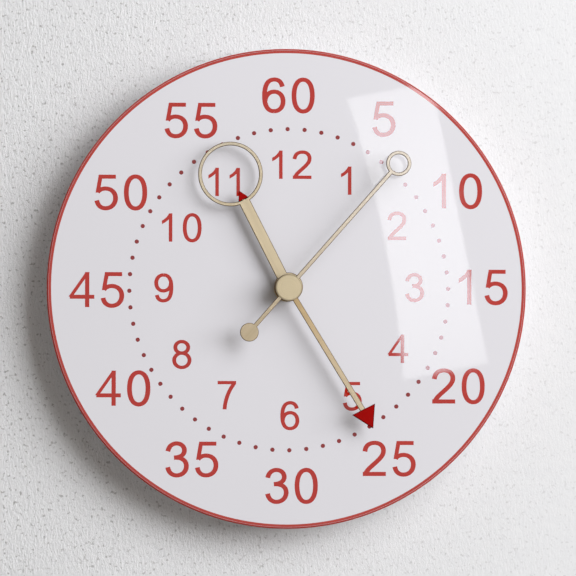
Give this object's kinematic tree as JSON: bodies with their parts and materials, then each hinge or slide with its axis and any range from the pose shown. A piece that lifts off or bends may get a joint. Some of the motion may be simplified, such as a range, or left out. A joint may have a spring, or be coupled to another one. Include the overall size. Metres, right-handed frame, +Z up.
{
  "type": "teaching wall clock",
  "caption": "Frameless round wall clock for teaching the time, with a white printed dial, a ringed brass hour hand, red arrowheads and a quartz movement behind.",
  "frame": {"origin": "on the spindle axis, in the plane of the wall that the clock hangs on", "axes": "+Z up, +X to the right as the dial is read, +Y into the wall, so the dial faces -Y"},
  "size_m": [0.254, 0.0355, 0.254],
  "materials": {
    "white_acrylic": "polished, printed on the front",
    "satin_brass": "brushed lengthwise, lacquered",
    "red_enamel": "satin",
    "turned_brass": "turned",
    "steel": "nickel plated",
    "magnet": "sintered",
    "black_plastic": "fine moulded grain",
    "white_plastic": "moulded",
    "rubber": "matte",
    "copper_wire": "enamelled copper wire",
    "board": "phenolic paper board",
    "epoxy": "smooth drop",
    "cell_sleeve": "printed film on a steel can"
  },
  "bodies": {
    "clock_body": {"dial_disc": "white_acrylic", "rubber_gasket": "rubber", "dial_washer": "turned_brass", "dial_nut": "turned_brass", "threaded_bushing": "turned_brass", "movement_case": "black_plastic", "rear_cover": "black_plastic", "train_bridge": "white_plastic", "circuit_board": "board", "quartz_crystal": "steel", "chip_drop": "epoxy", "stator_plate": "steel", "coil_core": "steel", "coil_bobbin": "black_plastic", "coil_winding": "copper_wire", "positive_contact": "steel", "negative_contact": "steel", "hanger_ear": "black_plastic"},
    "hour_assembly": {"hour_hand": "satin_brass", "hour_arrowhead": "red_enamel", "hour_wheel": "white_plastic"},
    "minute_assembly": {"minute_hand": "satin_brass", "minute_arrowhead": "red_enamel", "minute_nut": "turned_brass", "cannon_pinion": "turned_brass"},
    "second_assembly": {"second_hand": "satin_brass", "centre_cap": "satin_brass", "second_collet": "turned_brass", "second_arbor": "steel", "second_wheel": "white_plastic"},
    "intermediate_axis": {"intermediate_wheel": "white_plastic"},
    "third_axis": {"third_wheel": "white_plastic"},
    "centre_axis": {"centre_wheel": "turned_brass"},
    "rotor_axis": {"rotor_pinion": "steel", "rotor_magnet": "magnet"},
    "motion_work_axis": {"motion_work_wheel": "white_plastic"},
    "knob_axis": {"setting_knob": "white_plastic"},
    "cell": {"dry_cell": "cell_sleeve"}
  },
  "joints": [
    {"name": "second_hand_spin", "type": "hinge", "parent": "clock_body", "child": "second_assembly", "pos_m": [0, 0, 0], "axis": [0, 1, 0], "continuous": true},
    {"name": "minute_hand_spin", "type": "hinge", "parent": "clock_body", "child": "minute_assembly", "pos_m": [0, 0, 0], "axis": [0, 1, 0], "continuous": true},
    {"name": "hour_hand_spin", "type": "hinge", "parent": "clock_body", "child": "hour_assembly", "pos_m": [0, 0, 0], "axis": [0, 1, 0], "continuous": true},
    {"name": "intermediate_wheel_spin", "type": "hinge", "parent": "clock_body", "child": "intermediate_axis", "pos_m": [0.0054, 0, 0.00935], "axis": [0, 1, 0], "continuous": true},
    {"name": "third_wheel_spin", "type": "hinge", "parent": "clock_body", "child": "third_axis", "pos_m": [-0.0102, 0, 0], "axis": [0, 1, 0], "continuous": true},
    {"name": "centre_wheel_spin", "type": "hinge", "parent": "clock_body", "child": "centre_axis", "pos_m": [0, 0, 0], "axis": [0, 1, 0], "continuous": true},
    {"name": "rotor_spin", "type": "hinge", "parent": "clock_body", "child": "rotor_axis", "pos_m": [0.01231, 0, 0.01187], "axis": [0, 1, 0], "continuous": true},
    {"name": "motion_work_spin", "type": "hinge", "parent": "clock_body", "child": "motion_work_axis", "pos_m": [0.01, 0, 0], "axis": [0, 1, 0], "continuous": true},
    {"name": "setting_knob_spin", "type": "hinge", "parent": "clock_body", "child": "knob_axis", "pos_m": [0.02, 0, 0], "axis": [0, 1, 0], "continuous": true},
    {"name": "dry_cell_removal", "type": "slide", "parent": "clock_body", "child": "cell", "axis": [0, 1, 0], "range_m": [0, 0.02]}
  ],
  "couplings": [
    {"joint": "intermediate_wheel_spin", "follows": "second_hand_spin", "ratio": -5},
    {"joint": "rotor_spin", "follows": "second_hand_spin", "ratio": 30},
    {"joint": "third_wheel_spin", "follows": "second_hand_spin", "ratio": -0.13333},
    {"joint": "centre_wheel_spin", "follows": "second_hand_spin", "ratio": 0.016667},
    {"joint": "motion_work_spin", "follows": "minute_hand_spin", "ratio": -0.33333},
    {"joint": "hour_hand_spin", "follows": "minute_hand_spin", "ratio": 0.083333},
    {"joint": "setting_knob_spin", "follows": "minute_hand_spin", "ratio": 1}
  ]
}
